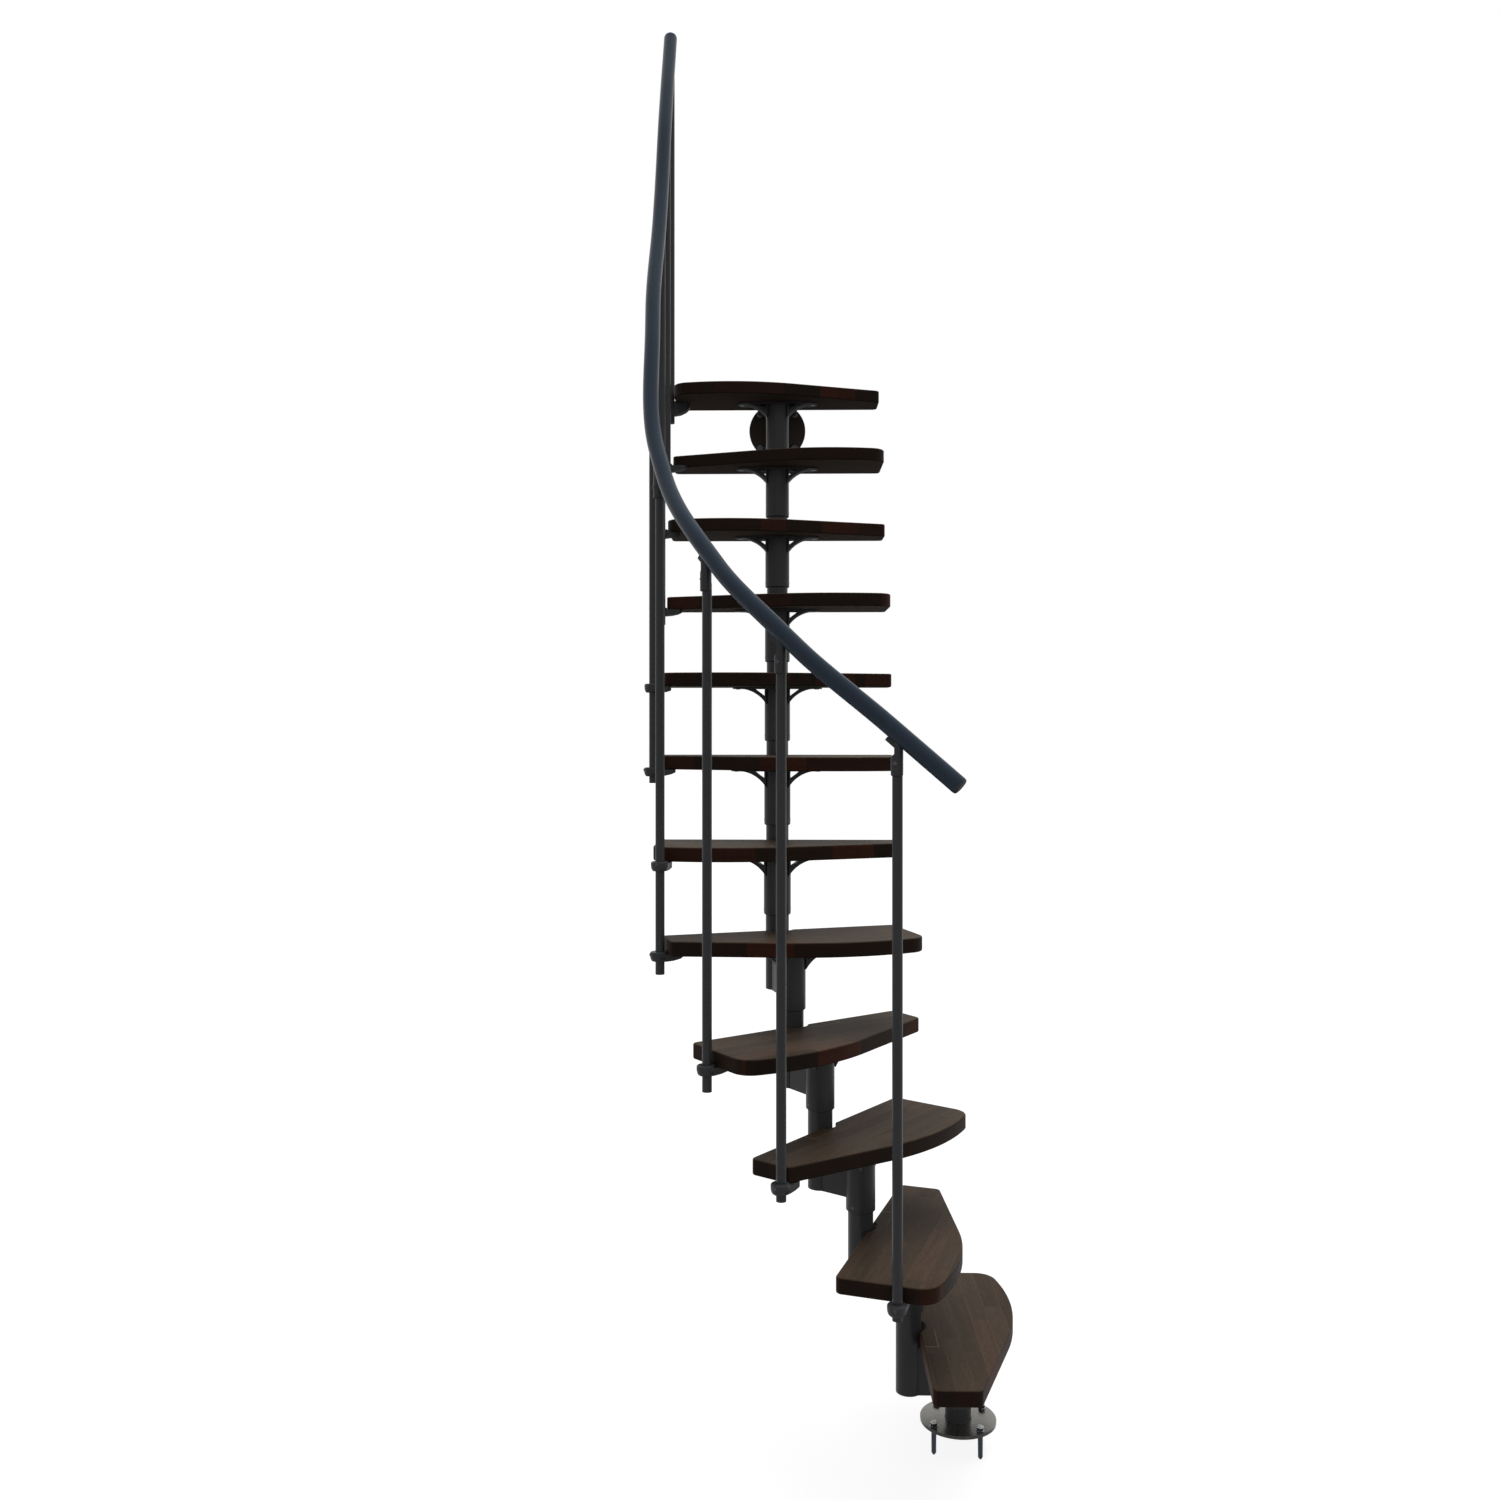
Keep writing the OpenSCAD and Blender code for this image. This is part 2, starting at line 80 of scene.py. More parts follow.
DISC_T = 8 * MM
BOLT_COUNT = 4
BOLT_R = 76.5 * MM
ANCHOR_R = 6 * MM
ANCHOR_DEPTH = 58 * MM
ANCHOR_TURN = math.radians(35)
FLANGE_TURN = math.radians(45)

# Tread of each baluster, and how far ahead of that tread's column it stands, in mm
BALUSTER_TREADS = (2, 3, 4, 5, 7, 9, 11, 12)
BALUSTER_ALONG = (-50, -4, 0, 40, -30, -10, -50, -10)
BALUSTER_R = 11.5 * MM
BALUSTER_GAP = 4 * MM
BALUSTER_X = TREAD_LEN / 2 + BALUSTER_GAP + BALUSTER_R
CAP_WALL = 2 * MM
CAP_R = BALUSTER_R + CAP_WALL
CAP_OFFSET = 3.5 * MM
BRACKET_R = 22 * MM
BRACKET_OFFSET = 3 * MM

# Height of the rail's axis over the top of each baluster's tread, in mm
RAIL_OVER = (1197, 1195, 1168, 1200, 1184, 1136, 1065, 1098)
RAIL_R = 20.25 * MM
RAIL_OFFSET = 2 * MM
RAIL_START = 175 * MM
RAIL_END = 15 * MM
RAIL_JOINT = 31 * MM
STRAIGHT_BELOW = 60 * MM
STRAIGHT_ABOVE = 26 * MM

UP = Vector((0, 0, 1))


# ---- Plan of the stair ----


def heading(step):
    """Angle from +Y that the climb has at a step, turning from -X to +Y."""
    return max(0, TURN_ANGLE * (1 - (step - 1) / TURN_JOINTS))


def ahead(step):
    """Level direction of the climb at a step."""
    return Vector((-math.sin(heading(step)), math.cos(heading(step)), 0))


def column(step):
    """Axis of the column under a step, on the floor plan."""
    place = Vector((0, 0, 0))
    for passed in range(1, step):
        place += GOING * ahead(passed)
    return place


def tread_frame(step):
    """Frame of a tread: x to the climber's right, y ahead, z up from the tread's top."""
    place = Matrix.Translation(column(step) + RISE * step * UP)
    return place @ Matrix.Rotation(heading(step), 4, "Z")


def wide_side(step):
    """Side of the wide end of a tread: 1 for the climber's right, -1 for the left."""
    return 1 if step % 2 == 1 else -1


def baluster_foot(index):
    """Plan position of a baluster."""
    local = Vector((-BALUSTER_X, BALUSTER_ALONG[index] * MM, 0))
    place = tread_frame(BALUSTER_TREADS[index]) @ local
    return Vector((place.x, place.y, 0))


# ---- Path of the handrail ----


def rail_knot(index):
    """Point of the rail's axis over a baluster."""
    step = BALUSTER_TREADS[index]
    local = Vector((-BALUSTER_X - RAIL_OFFSET, BALUSTER_ALONG[index] * MM, RAIL_OVER[index] * MM))
    return tread_frame(step) @ local


RAIL_KNOTS = [rail_knot(index) for index in range(len(BALUSTER_TREADS))]
# The knots with one more at each end, where the rail would run on straight
STEERED = [
    2 * RAIL_KNOTS[0] - RAIL_KNOTS[1],
    *RAIL_KNOTS,
    2 * RAIL_KNOTS[-1] - RAIL_KNOTS[-2],
]


def rail_direction(index):
    """Direction of the rail over a baluster, led by the nearer neighbour."""
    before = STEERED[index + 1] - STEERED[index]
    after = STEERED[index + 2] - STEERED[index + 1]
    return (before.normalized() * after.length + after.normalized() * before.length).normalized()


def bend(start, start_dir, end, end_dir, t):
    """Point at the share t of a smooth curve between two points and directions."""
    reach = (end - start).length
    rising = (1 + 2 * t) * start + t * reach * start_dir
    falling = (3 - 2 * t) * end - (1 - t) * reach * end_dir
    return (1 - t) ** 2 * rising + t**2 * falling


def rail_path(parts):
    """Points along the rail's axis, with the given number of parts in each bend."""
    path = [RAIL_KNOTS[0] - RAIL_START * rail_direction(0)]
    for index in range(len(RAIL_KNOTS) - 1):
        leaving = rail_direction(index)
        coming = rail_direction(index + 1)
        start = RAIL_KNOTS[index] + STRAIGHT_ABOVE * leaving
        end = RAIL_KNOTS[index + 1] - STRAIGHT_BELOW * coming
        for part in range(parts + 1):
            path.append(bend(start, leaving, end, coming, part / parts))
    path.append(RAIL_KNOTS[-1] + RAIL_END * rail_direction(len(RAIL_KNOTS) - 1))
    return path


# ---- Mesh making ----


def loft(mesh, rings):
    """Joins rings of points, which have equal counts or a single point that closes an end."""
    loops = [[mesh.verts.new(point) for point in ring] for ring in rings]
    for low, high in zip(loops, loops[1:]):
        for k in range(max(len(low), len(high))):
            corners = [
                low[k % len(low)],
                low[(k + 1) % len(low)],
                high[(k + 1) % len(high)],
                high[k % len(high)],
            ]
            mesh.faces.new(list(dict.fromkeys(corners)))


def lathe(mesh, place, profile, sides=32, radius_at=None):
    """Turns a profile of (radius, height) points about the Z axis of place."""
    rings = []
    for radius, height in profile:
        if radius == 0:
            rings.append([place @ Vector((0, 0, height))])
            continue
        ring = []
        for k in range(sides):
            angle = math.tau * k / sides
            r = radius_at(radius, height, angle) if radius_at else radius
            ring.append(place @ Vector((r * math.cos(angle), r * math.sin(angle), height)))
        rings.append(ring)
    loft(mesh, rings)


def sweep(mesh, path, radii, sides):
    """Round bar along a path, closed by a point at each end."""
    rings = [[path[0]]]
    for i, point in enumerate(path):
        direction = (path[min(i + 1, len(path) - 1)] - path[max(i - 1, 0)]).normalized()
        # A plumb path takes another reference, or its rings would twist
        steady = UP if abs(direction.z) < 0.99 else Vector((1, 0, 0))
        side = direction.cross(steady).normalized()
        over = side.cross(direction)
        ring = []
        for k in range(sides):
            angle = math.tau * k / sides
            ring.append(point + radii[i] * (math.cos(angle) * side + math.sin(angle) * over))
        rings.append(ring)
    rings.append([path[-1]])
    loft(mesh, rings)


def make_piece(name, mesh, material, smooth_angle=35, place=None):
    """Turns a bmesh into a piece that rides on the staircase."""
    bmesh.ops.recalc_face_normals(mesh, faces=mesh.faces)
    data = bpy.data.meshes.new(name)
    mesh.to_mesh(data)
    mesh.free()
    data.polygons.foreach_set("use_smooth", [True] * len(data.polygons))
    data.set_sharp_from_angle(angle=math.radians(smooth_angle))
    data.materials.append(material)
    piece = bpy.data.objects.new(name, data)
    if place is not None:
        piece.matrix_world = place
    bpy.context.scene.collection.objects.link(piece)
    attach(piece, "root")
    return piece


# ---- Materials ----

# z of the normals between which a side turns into a top or an underside
SIDE_Z = 0.25
TOP_Z = 0.85


class Nodes:
    """A node tree under construction, with short calls to add and join its nodes."""

    def __init__(self, tree):
        self.tree = tree

    def add(self, kind, **settings):
        """A new node with its settings."""
        node = self.tree.nodes.new("ShaderNode" + kind)
        for key, value in settings.items():
            setattr(node, key, value)
        return node

    def join(self, source, target):
        self.tree.links.new(source, target)

    def put(self, socket, value):
        """Sets an input socket, or joins another node's output to it."""
        if isinstance(value, bpy.types.NodeSocket):
            self.join(value, socket)
        else:
            socket.default_value = value

    def math(self, operation, first, second=0.0):
        """Result of an operation on numbers or outputs."""
        node = self.add("Math", operation=operation)
        self.put(node.inputs[0], first)
        self.put(node.inputs[1], second)
        return node.outputs[0]

    def product(self, *factors):
        """All the factors multiplied together."""
        total = factors[0]
        for factor in factors[1:]:
            total = self.math("MULTIPLY", total, factor)
        return total

    def ramp(self, factor, stops):
        """Colour that the factor picks from stops of (position, colour)."""
        node = self.add("ValToRGB")
        elements = node.color_ramp.elements
        while len(elements) < len(stops):
            elements.new(0.5)
        for element, (position, color) in zip(elements, stops):
            element.position = position
            element.color = (*color, 1)
        self.join(factor, node.inputs["Fac"])
        return node.outputs["Color"]

    def mix(self, blend, factor, first, second):
        """Two colours blended in the given way."""
        node = self.add("Mix", data_type="RGBA", blend_type=blend)
        for name, value in zip(("Factor", "A", "B"), (factor, first, second)):
            kind = "VALUE" if name == "Factor" else "RGBA"
            self.put(next(s for s in node.inputs if s.name == name and s.type == kind), value)
        return next(s for s in node.outputs if s.type == "RGBA")

    def noise(self, vector, scale, detail=4.0, roughness=0.5, distortion=0.0):
        node = self.add("TexNoise")
        self.join(vector, node.inputs["Vector"])
        self.put(node.inputs["Scale"], scale)
        self.put(node.inputs["Detail"], detail)
        self.put(node.inputs["Roughness"], roughness)
        self.put(node.inputs["Distortion"], distortion)
        return node.outputs["Fac"]

    def stretched(self, vector, scale):
        """Coordinates scaled along each axis."""
        node = self.add("Mapping")
        self.join(vector, node.inputs["Vector"])
        self.put(node.inputs["Scale"], scale)
        return node.outputs["Vector"]

    def between(self, factor, low, high):
        """A factor of 0 to 1 spread over the range from low to high."""
        node = self.add("MapRange")
        self.join(factor, node.inputs["Value"])
        self.put(node.inputs["To Min"], low)
        self.put(node.inputs["To Max"], high)
        return node.outputs["Result"]

    def facing_up_and_down(self, normal):
        """1 where a surface faces up, and 1 where it faces down, with soft steps between."""
        axes = self.add("SeparateXYZ")
        self.join(normal, axes.inputs[0])
        sides = []
        for sign in (1, -1):
            step = self.add("MapRange", interpolation_type="SMOOTHSTEP")
            self.join(axes.outputs["Z"], step.inputs["Value"])
            self.put(step.inputs["From Min"], sign * SIDE_Z)
            self.put(step.inputs["From Max"], sign * TOP_Z)
            sides.append(step.outputs["Result"])
        return sides

    def shown_or_glossy(self):
        """1 for camera, glossy and transmission rays, and 0 for the rest."""
        ray = self.add("LightPath").outputs
        seen = self.math("MAXIMUM", ray["Is Camera Ray"], ray["Is Glossy Ray"])
        return self.math("MAXIMUM", seen, ray["Is Transmission Ray"])


class Shader(Nodes):
    """A material under construction, round its Principled BSDF."""

    def __init__(self, name):
        self.material = bpy.data.materials.new(name)
        self.material.use_nodes = True
        super().__init__(self.material.node_tree)
        self.surface = self.tree.nodes["Principled BSDF"]

    def set(self, name, value):
        """Sets an input of the surface, or joins a node's output to it."""
        self.put(self.surface.inputs[name], value)

    def relief(self, height, depth, strength):
        """Bump of the given depth in metres."""
        node = self.add("Bump")
        self.put(node.inputs["Distance"], depth)
        self.put(node.inputs["Strength"], strength)
        self.join(height, node.inputs["Height"])
        self.set("Normal", node.outputs["Normal"])


def powder_coat(name, dark, light, roughness, specular):
    """Baked-on paint with a fine orange-peel skin."""
    s = Shader(name)
    coordinates = s.add("TexCoord")
    place = coordinates.outputs["Object"]
    cloud = s.noise(place, 5, detail=3)
    s.set("Base Color", s.ramp(cloud, [(0.3, dark), (0.7, light)]))
    # The powder lands dry and rough on faces that look down
    _, downward = s.facing_up_and_down(coordinates.outputs["Normal"])
    speck = s.between(s.noise(place, 420, detail=2), roughness - 0.05, roughness + 0.05)
    s.set("Roughness", s.math("ADD", speck, s.product(downward, 0.45)))
    s.set("Specular IOR Level", specular)
    s.relief(s.noise(place, 700, detail=2), 0.05 * MM, 0.3)
    return s.material


def brushed_metal(
    name, dark, light, roughness, stretch=(1, 1, 1), painted_side_shade=(1, 1, 1), metallic=1.0
):
    """Bare metal with lines drawn out by stretch; its sides are multiplied by painted_side_shade,
    which paints them darker than the tops as shade.
    """
    s = Shader(name)
    coordinates = s.add("TexCoord")
    place = coordinates.outputs["Object"]
    lines = s.noise(s.stretched(place, stretch), 60, detail=5, roughness=0.6)
    patch = s.noise(place, 18, detail=3)
    tone = s.mix(
        "MULTIPLY", 0.5, s.ramp(lines, [(0.25, dark), (0.75, light)]),
        s.ramp(patch, [(0.3, (0.7, 0.69, 0.68)), (0.7, (1, 1, 1))]),
    )
    # Painted light: faces that look up keep the bright tone and the sides are darkened, so the
    # tops show lit and the sides shaded
    upward, _ = s.facing_up_and_down(coordinates.outputs["Normal"])
    sides = s.mix("MULTIPLY", 1.0, tone, (*painted_side_shade, 1))
    s.set("Base Color", s.mix("MIX", upward, sides, tone))
    s.set("Metallic", metallic)
    s.set("Roughness", s.between(lines, roughness - 0.07, roughness + 0.09))
    s.relief(lines, 0.02 * MM, 0.3)
    return s.material


STAVE_W = 41 * MM
STAVE_LEN = 310 * MM
GLUE_LINE = 0.7 * MM
# Plug in a tread: its middle, half its length and width, and the width of its glued rim
PLUG_AT = (65 * MM, 75 * MM)
PLUG_HALF = (47 * MM, 17 * MM)
PLUG_RIM = (5 * MM, 2.6 * MM)


def walnut(name, side):
    """Dark stained wood glued from staves that run along the tread, wide end on side * x."""
    s = Shader(name)
    coordinates = s.add("TexCoord")
    place = coordinates.outputs["Object"]
    axes = s.add("SeparateXYZ")
    s.join(place, axes.inputs[0])
    luck = s.add("ObjectInfo").outputs["Random"]

    # Rows and columns of staves, which start at another point on each tread
    staves_across = s.math("DIVIDE", axes.outputs["Y"], STAVE_W)
    row_place = s.math("ADD", staves_across, s.product(luck, 37))
    row = s.math("FLOOR", row_place)
    row_luck = s.add("TexWhiteNoise", noise_dimensions="1D")
    s.join(row, row_luck.inputs["W"])
    staves_along = s.math("DIVIDE", axes.outputs["X"], STAVE_LEN)
    col_place = s.math("ADD", staves_along, s.product(row_luck.outputs["Value"], 9))
    col = s.math("FLOOR", col_place)
    stave = s.add("CombineXYZ")
    s.join(row, stave.inputs["X"])
    s.join(col, stave.inputs["Y"])
    stave_luck = s.add("TexWhiteNoise", noise_dimensions="2D")
    s.join(stave.outputs[0], stave_luck.inputs["Vector"])

    # Each stave is cut from another board, so its grain is shifted
    shift = s.add("VectorMath", operation="MULTIPLY_ADD")
    for socket, value in zip(shift.inputs, (stave_luck.outputs["Color"], (0.8, 0.5, 0.5), place)):
        s.put(socket, value)
    board = shift.outputs[0]
    figure = s.noise(s.stretched(board, (3, 26, 26)), 1.3, detail=5, roughness=0.6, distortion=1.2)
    fibre = s.noise(s.stretched(board, (22, 420, 420)), 1.0, detail=3, roughness=0.7)
    pore = s.noise(s.stretched(board, (60, 900, 900)), 1.0, detail=1)

    # The tops take the wood's colour, while the edges are painted much darker as shade
    top_tone = s.ramp(stave_luck.outputs["Value"], [
        (0.0, (0.050, 0.0365, 0.0265)),
        (0.35, (0.060, 0.0435, 0.0310)),
        (0.6, (0.063, 0.0465, 0.0335)),
        (0.8, (0.075, 0.0485, 0.0345)),
        (1.0, (0.055, 0.0400, 0.0285)),
    ])
    edge = s.ramp(stave_luck.outputs["Value"], [
        (0.0, (0.013, 0.0085, 0.0065)),
        (0.35, (0.020, 0.0115, 0.0080)),
        (0.6, (0.016, 0.0095, 0.0070)),
        (0.8, (0.046, 0.0155, 0.0095)),
        (1.0, (0.024, 0.0120, 0.0080)),
    ])
    upward, downward = s.facing_up_and_down(coordinates.outputs["Normal"])
    tone = s.mix("MIX", upward, edge, top_tone)
    # Undersides are painted darker than the tops, as shade
    tone = s.mix("MIX", downward, tone, s.mix("MULTIPLY", 1.0, top_tone, (0.4, 0.38, 0.37, 1)))
    clouds = s.ramp(figure, [(0.3, (0.72, 0.70, 0.68)), (0.62, (1.2, 1.17, 1.12))])
    tone = s.mix("MULTIPLY", 0.6, tone, clouds)
    streaks = s.ramp(fibre, [(0.3, (0.6, 0.58, 0.56)), (0.7, (1.2, 1.2, 1.2))])
    tone = s.mix("MULTIPLY", 0.4, tone, streaks)
    pores = s.ramp(pore, [(0.34, (1, 1, 1)), (0.4, (0, 0, 0))])
    tone = s.mix("MIX", s.product(pores, 0.4), tone, (0.010, 0.006, 0.005, 1))

    # Glue lines between the staves show a little paler, some more than others
    across = s.math("PINGPONG", row_place, 0.5)
    line = s.math("LESS_THAN", across, GLUE_LINE / STAVE_W)
    shine = s.between(row_luck.outputs["Value"], 0.1, 0.6)
    tone = s.mix("MIX", s.product(line, upward, shine), tone, (0.110, 0.078, 0.055, 1))

    # An oblong plug, set flush on the narrow side beside the notch, hides the upper fixing;
    # its glue shows on the two sides away from the notch
    across_x = s.math("ADD", s.product(axes.outputs["X"], side), PLUG_AT[0])
    across_y = s.math("SUBTRACT", axes.outputs["Y"], PLUG_AT[1])
    inside = s.product(
        s.math("LESS_THAN", s.math("ABSOLUTE", across_x), PLUG_HALF[0]),
        s.math("LESS_THAN", s.math("ABSOLUTE", across_y), PLUG_HALF[1]),
    )
    from_side = s.math(
        "MINIMUM",
        s.math("DIVIDE", s.math("ADD", across_x, PLUG_HALF[0]), PLUG_RIM[0]),
        s.math("DIVIDE", s.math("ADD", across_y, PLUG_HALF[1]), PLUG_RIM[1]),
    )
    rim = s.product(inside, s.math("LESS_THAN", from_side, 1.0))
    tone = s.mix("MULTIPLY", inside, tone, (0.95, 0.99, 0.88, 1))
    tone = s.mix("MIX", s.product(rim, upward, 0.75), tone, (0.150, 0.122, 0.092, 1))

    s.set("Base Color", tone)
    s.set("Roughness", s.math("ADD", s.between(fibre, 0.5, 0.66), s.product(downward, 0.34)))
    s.set("Specular IOR Level", 0.05)
    s.relief(s.math("SUBTRACT", fibre, s.product(pores, 0.6)), 0.16 * MM, 0.5)
    return s.material


STEEL = powder_coat(
    "dark_steel", (0.042, 0.043, 0.046), (0.048, 0.049, 0.053), roughness=0.36, specular=0.15
)
FLANGE = powder_coat(
    "wall_steel", (0.050, 0.037, 0.031), (0.058, 0.043, 0.036), roughness=0.5, specular=0.12
)
RAIL = powder_coat(
    "rail", (0.0235, 0.0375, 0.0570), (0.0255, 0.0405, 0.0625), roughness=0.28, specular=0.12
)
RAIL_CAP = powder_coat(
    "rail_cap", (0.012, 0.014, 0.018), (0.016, 0.018, 0.023), roughness=0.5, specular=0.3
)
# Its sides are painted dark: this is the foot tube's real dark paint, and painted shade on the
# disc's rim
PLATE_STEEL = brushed_metal(
    "base_steel", (0.215, 0.210, 0.190), (0.345, 0.335, 0.312), roughness=0.24,
    stretch=(1, 14, 1), painted_side_shade=(0.16, 0.16, 0.17), metallic=0.9,
)
# The tops of the nuts and rods are painted near white as a highlight, far lighter than their dark
# blue-grey sides
ZINC = brushed_metal(
    "anchor_steel", (0.64, 0.64, 0.63), (0.94, 0.94, 0.92), roughness=0.34,
    painted_side_shade=(0.046, 0.057, 0.071),
)
BLACK_ZINC = brushed_metal(
    "screw_steel", (0.04, 0.04, 0.044), (0.08, 0.08, 0.085), roughness=0.4
)
WALNUT = {1: walnut("walnut_right", 1), -1: walnut("walnut_left", -1)}

CAD_FINISH = {
    "base_plate": PLATE_STEEL,
    "base_anchors": ZINC,
    "handrail": RAIL,
    "handrail_caps": RAIL_CAP,
    "wall_flange": FLANGE,
}
for node_name, node in cad.items():
    finish = WALNUT[1] if node_name.startswith("tread") else CAD_FINISH.get(node_name, STEEL)
    for material_slot in node.material_slots:
        material_slot.material = finish


# ---- Treads ----


def rounded_corner(before, at, after, radius, parts):
    """Arc that rounds a corner, at the point at, between the points before and after it."""
    back = (before - at).normalized()
    forth = (after - at).normalized()
    half = math.acos(max(-1.0, min(1.0, back.dot(forth)))) / 2
    centre = at + (back + forth).normalized() * radius / math.sin(half)
    start = at + back * radius / math.tan(half) - centre
    end = at + forth * radius / math.tan(half) - centre
    turn = math.atan2(start.x * end.y - start.y * end.x, start.dot(end))
    first = math.atan2(start.y, start.x)
    arc = []
    for i in range(parts + 1):
        angle = first + turn * i / parts
        arc.append(centre + radius * Vector((math.cos(angle), math.sin(angle))))
    return arc


# Straight parts in each arc of a tread's outline, and in its rounded edge
SMALL_PARTS = 8
WIDE_PARTS = 16
BELLY_PARTS = 32
NOTCH_PARTS = 24
EDGE_PARTS = 6


def tread_outline():
    """Counter-clockwise outline of a tread whose wide end is on +x."""
    half_len = TREAD_LEN / 2
    belly_half = (NARROW_TAPER + WIDE_TAPER) / 2
    belly_skew = (NARROW_TAPER - WIDE_TAPER) / 2
    reach = BELLY_R / math.cos(belly_half)
    belly_x = BELLY_X - reach * math.sin(belly_skew)
    belly_y = BELLY_R - TREAD_FRONT - reach * math.cos(belly_skew)
    belly = Vector((belly_x, belly_y))
    narrow_front = Vector((-half_len, belly.y + (belly.x + half_len) * math.tan(NARROW_TAPER)))
    wide_front = Vector((half_len, belly.y + (half_len - belly.x) * math.tan(WIDE_TAPER)))
    narrow_back = Vector((-half_len, TREAD_BACK))
    wide_back = Vector((half_len, TREAD_BACK))
    notch_r = TUBE_R + NOTCH_GAP
    notch_half = math.acos((GOING - TREAD_BACK) / notch_r)
    notch = []
    for i in range(NOTCH_PARTS + 1):
        angle = -math.pi / 2 + notch_half * (1 - 2 * i / NOTCH_PARTS)
        notch.append(Vector((notch_r * math.cos(angle), GOING + notch_r * math.sin(angle))))
    return (
        rounded_corner(wide_back, narrow_back, narrow_front, SMALL_CORNER, SMALL_PARTS)
        + rounded_corner(narrow_back, narrow_front, belly, SMALL_CORNER, SMALL_PARTS)
        + rounded_corner(narrow_front, belly, wide_front, BELLY_R, BELLY_PARTS)
        + rounded_corner(belly, wide_front, wide_back, WIDE_CORNER, WIDE_PARTS)
        + rounded_corner(wide_front, wide_back, narrow_back, SMALL_CORNER, SMALL_PARTS)
        + notch
    )


def drawn_in(outline, distance):
    """The outline moved inwards by a distance."""
    moved = []
    for i, point in enumerate(outline):
        before = (point - outline[i - 1]).normalized()
        after = (outline[(i + 1) % len(outline)] - point).normalized()
        left = Vector((-before.y, before.x))
        next_left = Vector((-after.y, after.x))
        moved.append(point + distance * (left + next_left) / (1 + left.dot(next_left)))
    return moved


OUTLINE = tread_outline()


def build_tread(step):
    """Board with rounded edges above and below, closed by a point in each face."""
    mesh = bmesh.new()
    side = wide_side(step)
    low = []
    for i in range(EDGE_PARTS + 1):
        angle = math.pi / 2 * i / EDGE_PARTS
        inset = TREAD_EDGE * (1 - math.sin(angle))
        low.append((inset, -TREAD_T + TREAD_EDGE * (1 - math.cos(angle))))
    high = [(inset, -TREAD_T - height) for inset, height in reversed(low)]
    rings = [[Vector((0, 0, -TREAD_T))]]
    for inset, height in low + high:
        rings.append([Vector((side * p.x, p.y, height)) for p in drawn_in(OUTLINE, inset)])
    rings.append([Vector((0, 0, 0))])
    loft(mesh, rings)
    piece = make_piece(
        f"wood_tread_{step:02d}", mesh, WALNUT[side], place=tread_frame(step)
    )
    weighted = piece.modifiers.new("even_normals", "WEIGHTED_NORMAL")
    weighted.keep_sharp = True
    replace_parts(piece, f"tread_{step:02d}")


for tread_number in range(1, STEPS + 1):
    build_tread(tread_number)


# ---- Handrail ----


def build_handrail():
    """One bent tube along the whole path."""
    mesh = bmesh.new()
    path = rail_path(parts=24)
    sweep(mesh, path, [RAIL_R] * len(path), sides=48)
    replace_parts(make_piece("bent_rail", mesh, RAIL), "handrail")


build_handrail()


# ---- Fasteners ----

# Radius and height of each kind
ANCHOR_WASHER = (9 * MM, 1.6 * MM)
ANCHOR_NUT = (8.8 * MM, 8.6 * MM)
WALL_WASHER = (12 * MM, 2 * MM)
WALL_BOLT = (10 * MM, 7 * MM)
TREAD_SCREW = (7 * MM, 1.8 * MM)
SLEEVE_SCREW = (4 * MM, 0.9 * MM)
CAP_SCREW = (5 * MM, 2.6 * MM)
BRACKET_SCREW = (4.5 * MM, 3 * MM)

# How far the screws on round parts are let in, and where they stand
SLEEVE_SCREW_IN = 0.5 * MM
CAP_SCREW_IN = 0.6 * MM
BRACKET_SCREW_IN = 1.2 * MM
TREAD_SCREW_OUT = 110 * MM
SLEEVE_SCREW_UP = 14 * MM
CAP_SCREW_DOWN = 9 * MM
BRACKET_SCREW_DOWN = 1 * MM

# Rods of the floor anchors, whose thread starts at a height below the plate
THREAD_PITCH = 1.75 * MM
THREAD_DEPTH = 0.9 * MM
THREAD_PARTS = 6
THREAD_START = -6 * MM
ROD_TIP = 5 * MM
ROD_OVER_NUT = 1.5 * MM
# Turn of the first nut in radians, with one more for each next nut
NUT_TURN = 0.4


def pan_head(mesh, place, radius, height):
    """Screw head with a round socket, standing on the XY plane of place."""
    lathe(mesh, place, [
        (0, 0),
        (radius, 0),
        (radius, 0.35 * height),
        (0.88 * radius, 0.72 * height),
        (0.62 * radius, 0.95 * height),
        (0.42 * radius, height),
        (0.38 * radius, 0.97 * height),
        (0.38 * radius, 0.45 * height),
        (0, 0.38 * height),
    ])


def hex_head(mesh, place, radius, height):
    """Hexagonal nut or bolt head."""
    lathe(mesh, place, [
        (0, 0),
        (0.94 * radius, 0),
        (radius, 0.1 * height),
        (radius, 0.84 * height),
        (0.86 * radius, height),
        (0, height),
    ], sides=6)


def washer(mesh, place, radius, thickness):
    """Flat washer with a bevel round its upper face."""
    lathe(mesh, place, [
        (0, 0),
        (radius, 0),
        (radius, 0.8 * thickness),
        (radius - 0.3 * thickness, thickness),
        (0, thickness),
    ], sides=40)


def facing(point, direction):
    """Frame at a point whose Z axis is the direction."""
    return Matrix.Translation(point) @ direction.to_track_quat("Z", "Y").to_matrix().to_4x4()


def bolt_angles(first):
    """Angles of the bolts round a disc, from the first one on."""
    return [first + i * math.tau / BOLT_COUNT for i in range(BOLT_COUNT)]


